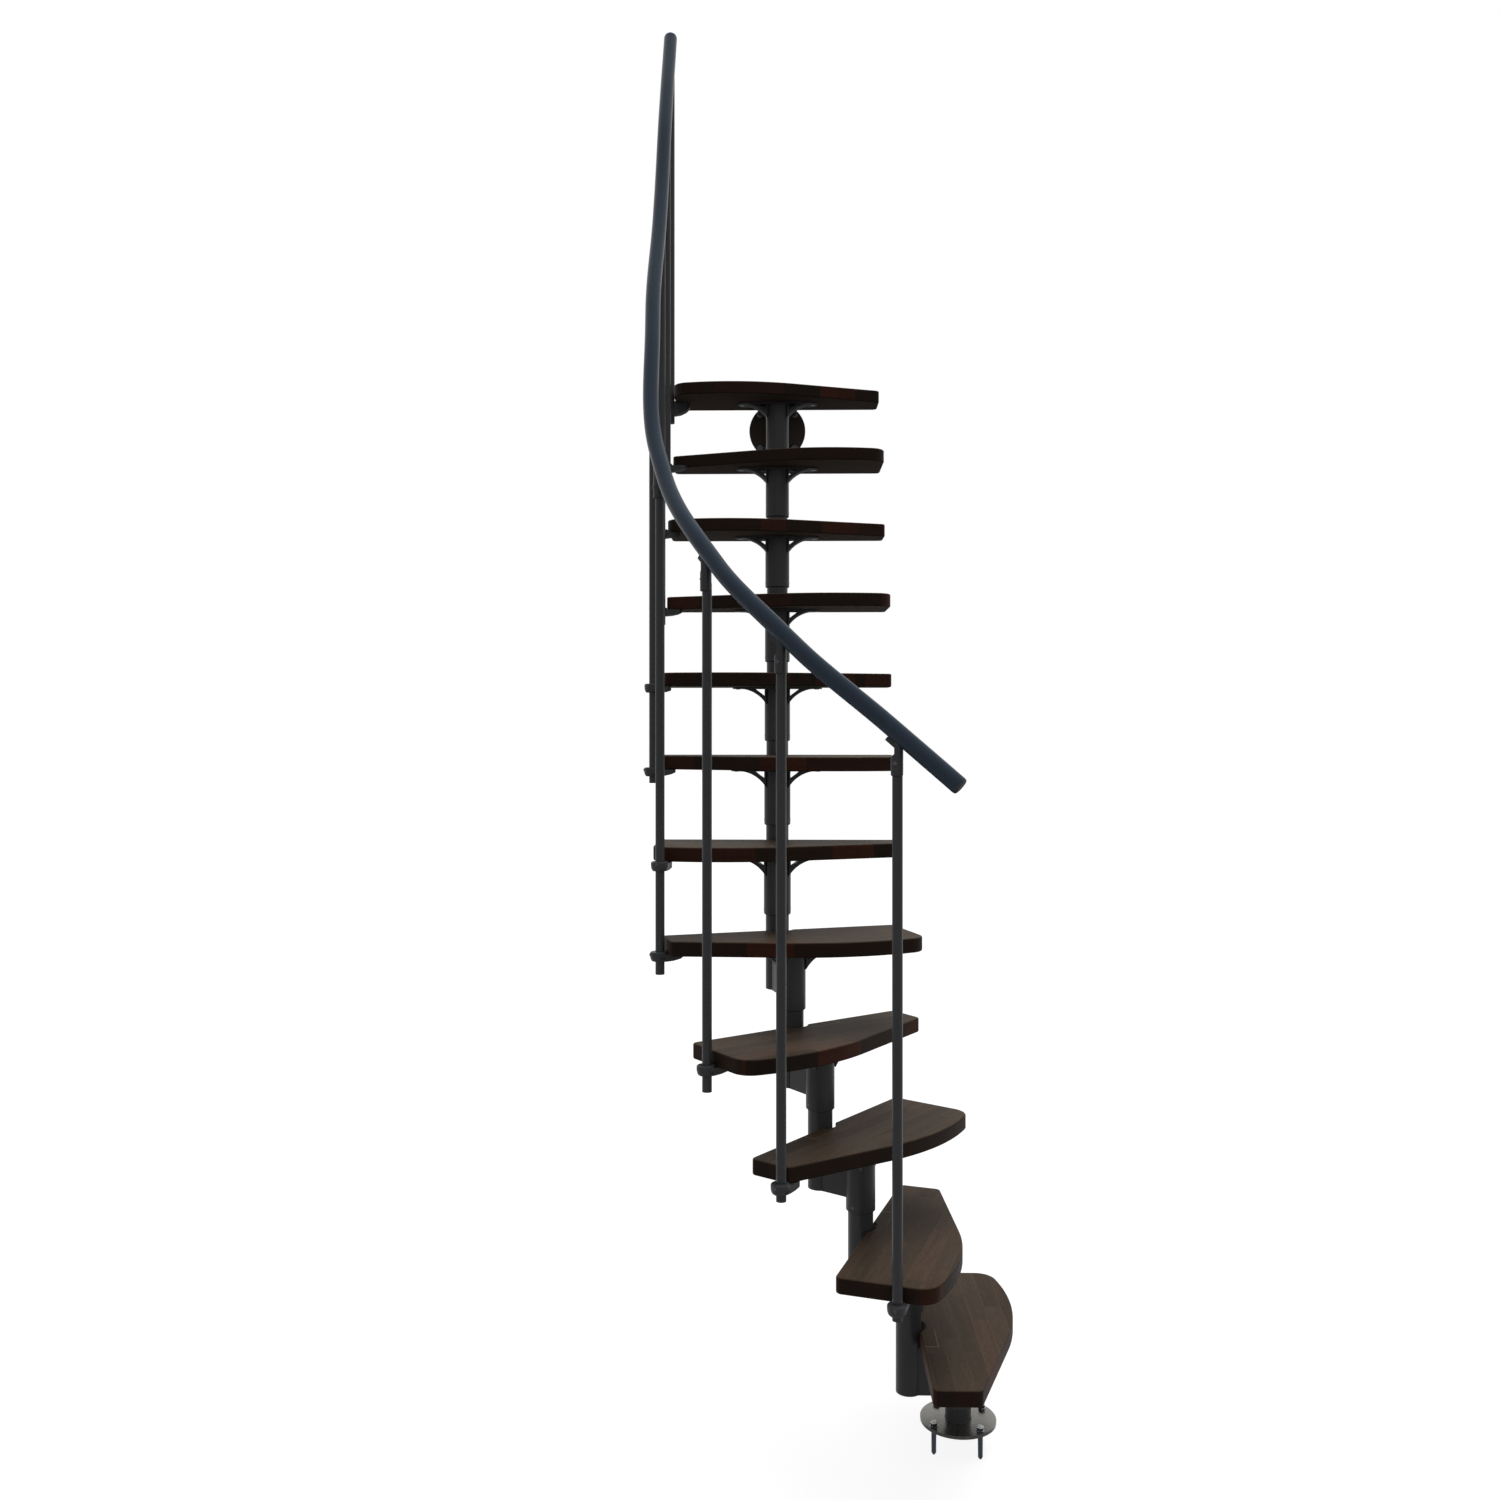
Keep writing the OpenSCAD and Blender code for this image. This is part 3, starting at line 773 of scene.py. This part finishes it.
def threaded_rod(mesh, place, bottom, top):
    """Anchor rod: a coned tip, a plain shank and a thread from THREAD_START to the top."""

    def helix(radius, height, angle):
        if height < THREAD_START:
            return radius
        phase = (height / THREAD_PITCH - angle / math.tau) % 1
        return radius - THREAD_DEPTH * (1 - abs(2 * phase - 1))

    profile = [
        (0, bottom),
        (0.45 * ANCHOR_R, bottom),
        (0.96 * ANCHOR_R, bottom + ROD_TIP),
        (ANCHOR_R, THREAD_START - 0.1 * MM),
    ]
    count = int((top - THREAD_START) / (THREAD_PITCH / THREAD_PARTS))
    for i in range(count + 1):
        profile.append((ANCHOR_R, THREAD_START + i * THREAD_PITCH / THREAD_PARTS))
    profile.append((0, top))
    lathe(mesh, place, profile, sides=24, radius_at=helix)


def build_anchors():
    """Four rods with a washer and a nut each, every nut turned its own way."""
    mesh = bmesh.new()
    seat = DISC_T + ANCHOR_WASHER[1]
    for i, angle in enumerate(bolt_angles(ANCHOR_TURN)):
        place = Matrix.Translation((BOLT_R * math.cos(angle), BOLT_R * math.sin(angle), 0))
        threaded_rod(mesh, place, -ANCHOR_DEPTH, seat + ANCHOR_NUT[1] + ROD_OVER_NUT)
        washer(mesh, place @ Matrix.Translation((0, 0, DISC_T)), *ANCHOR_WASHER)
        nut = Matrix.Translation((0, 0, seat)) @ Matrix.Rotation(NUT_TURN + i, 4, "Z")
        hex_head(mesh, place @ nut, *ANCHOR_NUT)
    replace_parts(make_piece("floor_anchors", mesh, ZINC), "base_anchors")


def build_wall_bolts():
    """Four bolts round the arm, into the wall."""
    mesh = bmesh.new()
    centre = column(STEPS) + GOING * ahead(STEPS)
    arm_h = ARM_DROP - TREAD_T - PLATE_T - ARM_GAP
    centre.z = STEPS * RISE - ARM_DROP + arm_h / 2
    for angle in bolt_angles(FLANGE_TURN):
        offset = Vector((BOLT_R * math.cos(angle), -DISC_T, BOLT_R * math.sin(angle)))
        place = facing(centre + offset, Vector((0, -1, 0)))
        washer(mesh, place, *WALL_WASHER)
        hex_head(mesh, place @ Matrix.Translation((0, 0, WALL_WASHER[1])), *WALL_BOLT)
    make_piece("wall_bolts", mesh, BLACK_ZINC)


def build_tread_screws():
    """Two screws through the plate under each tread."""
    mesh = bmesh.new()
    for step in range(1, STEPS + 1):
        for x in (-TREAD_SCREW_OUT, TREAD_SCREW_OUT):
            point = tread_frame(step) @ Vector((x, 0, -TREAD_T - PLATE_T))
            pan_head(mesh, facing(point, -UP), *TREAD_SCREW)
    make_piece("tread_screws", mesh, BLACK_ZINC)


def build_grub_screws():
    """Two screws low on each sleeve, left and right, clamp the tube inside it."""
    mesh = bmesh.new()
    for step in range(1, STEPS + 1):
        for side in (-1, 1):
            x = side * (SLEEVE_R - SLEEVE_SCREW_IN)
            point = tread_frame(step) @ Vector((x, 0, -SLEEVE_DROP + SLEEVE_SCREW_UP))
            outward = tread_frame(step).to_3x3() @ Vector((side, 0, 0))
            pan_head(mesh, facing(point, outward), *SLEEVE_SCREW)
    make_piece("sleeve_screws", mesh, BLACK_ZINC)


def build_rail_screws():
    """One screw on the outer side of each connector, below its shoulder."""
    mesh = bmesh.new()
    for index in range(len(BALUSTER_TREADS)):
        direction = rail_direction(index)
        level = math.hypot(direction.x, direction.y)
        outward = Vector((-direction.y, direction.x, 0)) / level
        shoulder = RAIL_KNOTS[index].z - RAIL_R / level - RAIL_JOINT
        reach = CAP_OFFSET + CAP_R - CAP_SCREW_IN
        point = baluster_foot(index) + (shoulder - CAP_SCREW_DOWN) * UP + reach * outward
        pan_head(mesh, facing(point, outward), *CAP_SCREW)
    make_piece("cap_screws", mesh, BLACK_ZINC)


def build_bracket_screws():
    """A clamping screw on the outer side of each bracket's head.

    A baluster that passes a tread without one of its own is held there too.
    """
    mesh = bmesh.new()
    hold_point = Vector((WIDE_CORNER - TREAD_LEN / 2, -TREAD_FRONT / 2, 0))
    for index, step in enumerate(BALUSTER_TREADS):
        clamped = [(step, tread_frame(step).to_3x3() @ Vector((-1, 0, 0)))]
        if index + 1 < len(BALUSTER_TREADS) and BALUSTER_TREADS[index + 1] > step + 1:
            held = tread_frame(step + 1) @ hold_point
            away = baluster_foot(index) - held
            clamped.append((step + 1, Vector((away.x, away.y, 0)).normalized()))
        for holder, outward in clamped:
            height = holder * RISE - TREAD_T - BRACKET_SCREW_DOWN
            reach = BRACKET_OFFSET + BRACKET_R - BRACKET_SCREW_IN
            point = baluster_foot(index) + height * UP + reach * outward
            pan_head(mesh, facing(point, outward), *BRACKET_SCREW)
    make_piece("bracket_screws", mesh, BLACK_ZINC)


build_anchors()
build_wall_bolts()
build_tread_screws()
build_grub_screws()
build_rail_screws()
build_bracket_screws()


# ---- Welds ----

FOOT_BEAD_R = 1.6 * MM
FOOT_BEAD_PARTS = 240
SEAM_BEAD_R = 2 * MM
BEAD_PITCH = 1.5 * MM
BEAD_RIPPLE = 0.03
# Ends of a seam's bead: over the arm's lower edge, and under the tread's plate
SEAM_OVER_EDGE = 1 * MM
SEAM_UNDER_PLATE = 3 * MM


def bead(mesh, path, radius):
    """Softly rippled weld bead along a path, under the paint."""
    radii = []
    for i in range(len(path)):
        ripple = BEAD_RIPPLE * math.cos(math.tau * i / 4)
        radii.append(radius * (1 - BEAD_RIPPLE + ripple))
    sweep(mesh, path, radii, sides=12)


def straight(start, end):
    """Path from start to end in steps of about the bead's pitch."""
    count = max(2, int((end - start).length / BEAD_PITCH))
    return [start.lerp(end, i / count) for i in range(count + 1)]


def build_welds():
    """Beads round the foot and along the upright seams of the arms."""
    mesh = bmesh.new()
    # Foot of the first tube on the base plate
    foot = []
    for k in range(FOOT_BEAD_PARTS + 1):
        angle = math.tau * k / FOOT_BEAD_PARTS
        foot.append(Vector((TUBE_R * math.cos(angle), TUBE_R * math.sin(angle), DISC_T)))
    bead(mesh, foot, FOOT_BEAD_R)
    # Channel to sleeve, and channel to the tube behind it
    side = ARM_W / 2
    sleeve_y = math.sqrt(SLEEVE_R**2 - side**2)
    tube_y = GOING - math.sqrt(TUBE_R**2 - side**2)
    plate_under = -TREAD_T - PLATE_T
    for step in range(1, STEPS + 1):
        to_world = tread_frame(step)
        seams = [sleeve_y, tube_y] if step < STEPS else [sleeve_y]
        for y in seams:
            for x in (-side, side):
                low = to_world @ Vector((x, y, -ARM_DROP + SEAM_OVER_EDGE))
                high = to_world @ Vector((x, y, plate_under - SEAM_UNDER_PLATE))
                bead(mesh, straight(low, high), SEAM_BEAD_R)
    make_piece("weld_beads", mesh, STEEL, smooth_angle=80)


build_welds()


# ---- Floor, light and camera ----

FLOOR_Z = -ANCHOR_DEPTH - 0.5 * MM
FLOOR_HALF = 40
FLOOR_GRID = 8
# The floor is paper that takes the shadow, mixed with a glow where it shows
PAPER = (0.8, 0.8, 0.8, 1)
PAPER_IN_BOUNCES = (0.15, 0.15, 0.15, 1)
FLOOR_GLOW = 1.22
GLOW_SHARE = 0.72
# Strength of the white sky as light on the stair, where it shows at 1
SKY_LIGHT = 0.46


def build_floor():
    """Wide pale floor, which shows near white and still takes the shadow."""
    mesh = bmesh.new()
    lines = [-FLOOR_HALF + 2 * FLOOR_HALF * i / FLOOR_GRID for i in range(FLOOR_GRID + 1)]
    rows = [[mesh.verts.new((x, y, FLOOR_Z)) for x in lines] for y in lines]
    for low, high in zip(rows, rows[1:]):
        for k in range(FLOOR_GRID):
            mesh.faces.new((low[k], low[k + 1], high[k + 1], high[k]))
    data = bpy.data.meshes.new("studio_floor")
    mesh.to_mesh(data)
    mesh.free()
    floor = bpy.data.objects.new("studio_floor", data)
    bpy.context.scene.collection.objects.link(floor)

    material = bpy.data.materials.new("studio_floor")
    material.use_nodes = True
    n = Nodes(material.node_tree)
    n.tree.nodes.remove(n.tree.nodes["Principled BSDF"])
    shown = n.shown_or_glossy()
    paper = n.add("BsdfDiffuse")
    n.put(paper.inputs["Color"], n.mix("MIX", shown, PAPER_IN_BOUNCES, PAPER))
    glow = n.add("Emission")
    n.put(glow.inputs["Strength"], FLOOR_GLOW)
    lit = n.add("MixShader")
    n.put(lit.inputs["Fac"], n.product(shown, GLOW_SHARE))
    n.join(paper.outputs[0], lit.inputs[1])
    n.join(glow.outputs[0], lit.inputs[2])
    n.join(lit.outputs[0], n.tree.nodes["Material Output"].inputs["Surface"])
    data.materials.append(material)


def build_world():
    """White sky: full for the camera and reflections, and dimmer as light."""
    world = bpy.data.worlds.new("studio")
    world.use_nodes = True
    n = Nodes(world.node_tree)
    sky = n.tree.nodes["Background"]
    n.put(sky.inputs["Color"], (1, 1, 1, 1))
    n.put(sky.inputs["Strength"], n.between(n.shown_or_glossy(), SKY_LIGHT, 1.0))
    bpy.context.scene.world = world


def soft_sun(name, towards, spread, strength):
    """Broad even light from far away; spread in degrees."""
    data = bpy.data.lights.new(name, "SUN")
    data.angle = math.radians(spread)
    data.energy = strength
    light = bpy.data.objects.new(name, data)
    bpy.context.scene.collection.objects.link(light)
    light.visible_glossy = False
    light.rotation_euler = Vector(towards).to_track_quat("Z", "Y").to_euler()


# Camera that was fitted to the photo's level and plumb lines, with its focal length
# and horizon as shares of the picture's width
EYE = Vector((-431.6, -3286.4, 1678.5)) * MM
EYE_YAW = 0.0199
PICTURE = 1500
FOCAL_LENGTH = 1372 / PICTURE
HORIZON_RISE = 32.6 / PICTURE


def build_camera():
    """Level camera whose horizon lies a little above the middle of the picture."""
    data = bpy.data.cameras.new("camera")
    data.sensor_width = 36
    data.lens = FOCAL_LENGTH * data.sensor_width
    data.shift_y = -HORIZON_RISE
    camera = bpy.data.objects.new("camera", data)
    bpy.context.scene.collection.objects.link(camera)
    camera.location = EYE
    camera.rotation_euler = (math.pi / 2, 0, EYE_YAW)
    bpy.context.scene.camera = camera


build_floor()
build_world()
soft_sun("key", towards=(0.20, 0.26, 1.0), spread=50, strength=1.9)
build_camera()
bpy.context.scene.view_settings.view_transform = "Standard"
